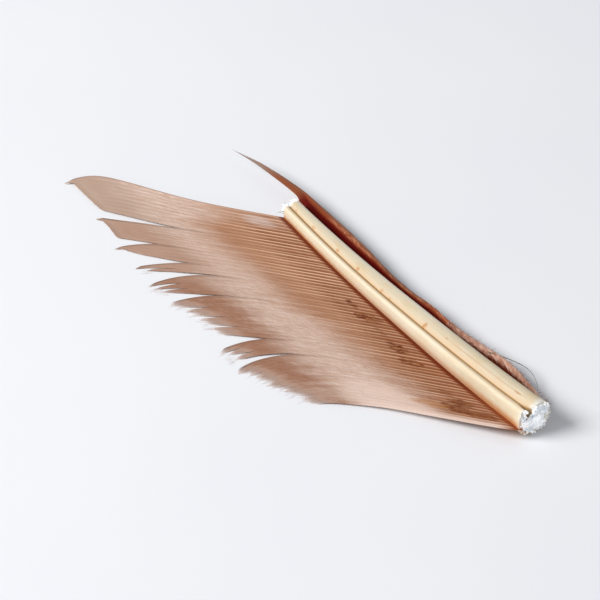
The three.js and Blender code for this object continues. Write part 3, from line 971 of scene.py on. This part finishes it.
def through(points, y):
    """A smooth line through points, worked out at each y."""
    spots = np.array(points, float)
    slope = np.gradient(spots[:, 1], spots[:, 0])
    y = np.clip(y, spots[0, 0], spots[-1, 0])
    i = np.clip(np.searchsorted(spots[:, 0], y) - 1, 0, len(spots) - 2)
    step = spots[i + 1, 0] - spots[i, 0]
    t = (y - spots[i, 0]) / step
    rise = slope[i] * step * t * (1 - t) ** 2 - slope[i + 1] * step * t * t * (1 - t)
    return lerp(spots[i, 1], spots[i + 1, 1], t * t * (3 - 2 * t)) + rise


def inner_x(y):
    """The narrow vane's inner edge: along the shaft's side, then along the blade."""
    side = bowed(RIGHT_SIDE, y) - NARROW_ROOT_IN
    return lerp(side, through(BLADE_INNER_LINE, y), smooth(HALF_LENGTH - 0.5, HALF_LENGTH + 2.2, y))


def narrow_point(rise, y):
    """A point of the narrow vane, rise from 0 at the shaft to 1 at the lip."""
    inner = inner_x(y)
    outer = np.maximum(through(LIP_LINE, y), inner + NARROW_LEAST)
    blade = smooth(HALF_LENGTH - 3, HALF_LENGTH + 5, y)
    foot = lerp(*NARROW_ROOT_HEIGHT, smooth(-HALF_LENGTH, HALF_LENGTH, y)) + root_lift(y)
    foot = lerp(foot, LIP_HEIGHT - 0.1, blade)
    climb = rise ** lerp(2.4, 1.0, blade)
    return np.stack([inner + (outer - inner) * rise, y, foot + (LIP_HEIGHT - foot) * climb], -1)


def narrow_rise(root, y, length):
    """How far up the vane a barb with this root has come at y."""
    share = 1 - (1 - np.clip((y - root) / length, 0, 1)) ** NARROW_TURN
    free = 1 - (1 - np.clip((y - HALF_LENGTH) / NARROW_LENGTH, 0, 0.985)) ** NARROW_TURN
    return np.clip((share - free) / (1 - free), 0, 1)


def unit(v):
    """The same directions, each one unit long."""
    return v / np.maximum(np.linalg.norm(v, axis=-1, keepdims=True), 1e-9)


def narrow_barb(root, seed, rng):
    """One barb's rings, and what its finish measures at each of their points."""
    length = lerp(NARROW_BASE_LENGTH, NARROW_LENGTH, smooth(-32, -4, root))
    length = np.minimum(length * rng.uniform(0.94, 1.03), BLADE_TIP + 0.3 - root)
    y = root + length * np.linspace(0, 1, NARROW_RINGS)
    rise = narrow_rise(root, y, length)
    spine = narrow_point(rise, y)
    nudge = 0.01
    up_vane = unit(narrow_point(rise + nudge, y) - narrow_point(np.maximum(0, rise - nudge), y))
    ahead = unit(np.gradient(spine, axis=0))
    face = unit(np.cross(up_vane, ahead))
    face = face * np.sign(face[:, 2:3] - 0.5 * face[:, 0:1])
    beside = unit(np.cross(ahead, face))
    taper = (1 - 0.9 * smooth(length * 0.8, length, y - root))[:, None]
    narrowing = (1 - 0.75 * smooth(HALF_LENGTH, BLADE_TIP - 4, y))[:, None]
    narrowing = narrowing * (1 + NARROW_BASE_WIDER * (1 - smooth(-14, -6, root)))
    lift = BARB_WAVE * ripple(seed, y, 5.0)[:, None] + rng.uniform(-0.02, 0.04)
    across = ACROSS[None, :]
    offset = FACE_UP * NARROW_WEB_HALF + CREST * NARROW_CREST + SHINGLE * across
    rings = spine[:, None] + beside[:, None] * (NARROW_HALF * narrowing * taper * across)[..., None]
    rings = rings + face[:, None] * (offset * taper * narrowing + lift)[..., None]
    size = rings.shape[:2]
    values = {
        "rise": np.broadcast_to(rise[:, None], size),
        "line": np.broadcast_to(y[:, None], size),
        "ridge": np.broadcast_to(np.clip(CREST, 0, 1), size),
        "pick": np.full(size, rng.uniform()),
    }
    return rings, values


def narrow_vane(finish):
    rng = np.random.default_rng(23)
    for name, (low, high, node) in NARROW_ROOTS.items():
        count = round((high - low) / BARB_SPACING * NARROW_PER_BARB)
        roots = low + (high - low) * (np.arange(count) + 0.5) / count
        made = [narrow_barb(root, 100 + i, rng) for i, root in enumerate(roots)]
        add_barbs(name, made, finish, node)


# ---- hairs -----------------------------------------------------------------------------
HAIR_RINGS = 12
HAIR_SIDES = 5
HAIR_LOWEST = 0.03
EDGE_HAIRS = 240
EDGE_HAIR_RADIUS = 0.022
WISPS = ((2, 4), (3, 6), (4, 10), (5, 26), (6, 10), (7, 34))     # a lock's index, and how many
WISP_RADIUS = 0.02
TUFT_HAIRS = 26
TUFT_RADIUS = 0.03
TUFT_PLACE = (4.15, -6.6, 2.6)
TUFT_SPREAD = (0.16, 0.45, 0.15)
LOOSE_RADIUS = 0.075
LOOSE_HAIR = (
    (4.7, -15.2, 3.0), (6.7, -18.2, 2.6), (8.0, -20.9, 2.2), (8.35, -22.6, 1.7), (7.6, -24.6, 1.2),
    (6.4, -26.0, 1.3),
)
CUT_FIBRES = (((-0.5, 31.8, 4.4), (-0.6, 33.6, 4.3)), ((-1.6, 31.7, 4.2), (-2.7, 32.9, 3.6)))


def strand(start, heading, length, curl, radius, rng):
    """Rings of one thin curved hair, which tapers to its tip."""
    t = np.linspace(0, 1, HAIR_RINGS)[:, None]
    aside = unit(np.array([rng.normal(), rng.normal(), 0.4 * rng.normal()]))
    spine = np.array(start) + unit(np.array(heading)) * length * t + aside * (curl * length) * t * t
    return strand_along(spine, radius)


def strand_along(spine, radius):
    """Rings round a spine of HAIR_RINGS points, kept off the surface."""
    ahead = unit(np.gradient(spine, axis=0))
    side = unit(np.cross(ahead, [0.12, 0.2, 1.0]))
    up = np.cross(side, ahead)
    turn = np.arange(HAIR_SIDES) * math.tau / HAIR_SIDES
    thick = radius * (1 - 0.8 * np.linspace(0, 1, HAIR_RINGS) ** 1.5)[:, None, None]
    ring = side[:, None] * np.cos(turn)[None, :, None] + up[:, None] * np.sin(turn)[None, :, None]
    rings = spine[:, None] + ring * thick
    rings[..., 2] = np.maximum(rings[..., 2], HAIR_LOWEST)
    return rings


def add_hairs(name, strands, look):
    points, faces = tubes(np.array(strands))
    add_piece(name, points, faces, hair_finish(*look))


def narrow_edge_hairs():
    """Soft short hairs that stand out from the base-side stretch of the narrow vane."""
    rng = np.random.default_rng(41)
    strands = []
    for _ in range(EDGE_HAIRS):
        y = rng.uniform(-30, -6)
        spot = narrow_point(np.array(rng.uniform(0.93, 1.0)), np.array(y))
        heading = (rng.uniform(0.3, 1.0), rng.uniform(-1.2, 0.5), rng.uniform(-0.3, 0.5))
        strands.append(strand(spot, heading, rng.uniform(0.3, 0.9), 0.25, EDGE_HAIR_RADIUS, rng))
    add_hairs("narrow_edge_hairs", strands, BEIGE_HAIR)


def wide_tip_hairs():
    """Wisps past the ends of the wide vane's lower locks."""
    rng = np.random.default_rng(43)
    strands = []
    for index, count in WISPS:
        lock = WIDE_LOCKS[index]
        low, high = lock.root
        for _ in range(count):
            share = rng.uniform(0, 1)
            out = lock_reach(lock, share) - rng.uniform(0.2, 1.4)
            root = lerp(low, high, share)
            here, there = (np.array(wide_point(lock, index, root, o)[:3], float) for o in (out, out + 0.3))
            here[2] += 0.05
            heading = unit(there - here) + rng.normal(0, 0.1, 3) * np.array([1, 1, 0.3])
            strands.append(strand(here, heading, rng.uniform(0.6, 1.7), 0.12, WISP_RADIUS, rng))
    add_hairs("wide_tip_hairs", strands, BROWN_HAIR)


def white_tuft():
    """A bit of white down caught on the narrow vane's lip."""
    rng = np.random.default_rng(47)
    strands = []
    for _ in range(TUFT_HAIRS):
        spot = [place + rng.normal(0, spread) for place, spread in zip(TUFT_PLACE, TUFT_SPREAD)]
        heading = (rng.uniform(0.1, 1.0), rng.uniform(-0.4, 1.0), rng.uniform(-0.2, 0.8))
        strands.append(strand(spot, heading, rng.uniform(0.4, 0.9), 0.5, TUFT_RADIUS, rng))
    add_hairs("white_tuft", strands, WHITE_HAIR)


def loose_hairs():
    """One long grey hair caught beside the base-side cut, and two fibres at the other cut."""
    strands = []
    for knots in (LOOSE_HAIR,) + CUT_FIBRES:
        knots = np.array(knots)
        at = np.linspace(0, 1, len(knots))
        t = np.linspace(0, 1, HAIR_RINGS)
        spine = np.stack([np.interp(t, at, knots[:, k]) for k in range(3)], 1)
        for _ in range(2):
            spine[1:-1] = (spine[:-2] + 2 * spine[1:-1] + spine[2:]) / 4
        strands.append(strand_along(spine, LOOSE_RADIUS))
    add_hairs("loose_hairs", strands, GREY_HAIR)


# ---- stage -----------------------------------------------------------------------------
CAMERA_AZIMUTH = -37.707             # degrees
CAMERA_ELEVATION = 45
CAMERA_DISTANCE = 366
CAMERA_TARGET = (-10.71, 15.9, 0)
CAMERA_LENS = 127.3
SENSOR_WIDTH = 36
NEAR_CLIP = 0.01                     # metres, as all from here on
FAR_CLIP = 20
TABLE_HALF = 3.0
ROOM_COLOUR = (0.93, 0.96, 1.0, 1)
ROOM_STRENGTH = 0.33
# Each light: where it stands, how wide it is, its power in watts and its colour.
LIGHTS = {
    "window": ((-0.72, 0.42, 0.7), 0.5, 11.3, (1.0, 0.985, 0.965)),
    "white_card": ((0.45, -0.75, 0.6), 0.8, 0.8, (0.98, 0.99, 1.0)),
}


def stage():
    floor_mesh = bpy.data.meshes.new("table_top")
    corners = [(x * TABLE_HALF, y * TABLE_HALF, 0) for x, y in ((-1, -1), (1, -1), (1, 1), (-1, 1))]
    floor_mesh.from_pydata(corners, [], [(0, 1, 2, 3)])
    floor_mesh.materials.append(table_finish())
    floor = put("table_top", floor_mesh)

    world = bpy.data.worlds.new("soft_room")
    world.use_nodes = True
    world.node_tree.nodes["Background"].inputs["Color"].default_value = ROOM_COLOUR
    world.node_tree.nodes["Background"].inputs["Strength"].default_value = ROOM_STRENGTH
    bpy.context.scene.world = world
    for name, settings in LIGHTS.items():
        add_light(name, *settings)

    data = bpy.data.cameras.new("camera")
    data.lens = CAMERA_LENS
    data.sensor_width = SENSOR_WIDTH
    data.clip_start = NEAR_CLIP
    data.clip_end = FAR_CLIP
    camera = put("camera", data)
    a = math.radians(CAMERA_AZIMUTH)
    e = math.radians(CAMERA_ELEVATION)
    back = Vector((math.sin(a) * math.cos(e), -math.cos(a) * math.cos(e), math.sin(e)))
    camera.location = (Vector(CAMERA_TARGET) + back * CAMERA_DISTANCE) * MM
    look_along(camera, -back)
    bpy.context.scene.camera = camera
    bpy.context.scene.view_settings.view_transform = "Standard"


def add_light(name, place, size, power, colour):
    data = bpy.data.lights.new(name, "AREA")
    data.shape = "DISK"
    data.size = size
    data.energy = power
    data.color = colour
    light = put(name, data)
    light.location = place
    look_along(light, -Vector(place))


def look_along(made, direction):
    made.rotation_mode = "QUATERNION"
    made.rotation_quaternion = direction.to_track_quat("-Z", "Y")


stage()
horn_shaft()
white_pith = pith_finish()
pith_core(white_pith)
pith_crumbs(white_pith)
wide_vane(wide_vane_finish())
narrow_vane(narrow_vane_finish())
narrow_edge_hairs()
wide_tip_hairs()
white_tuft()
loose_hairs()
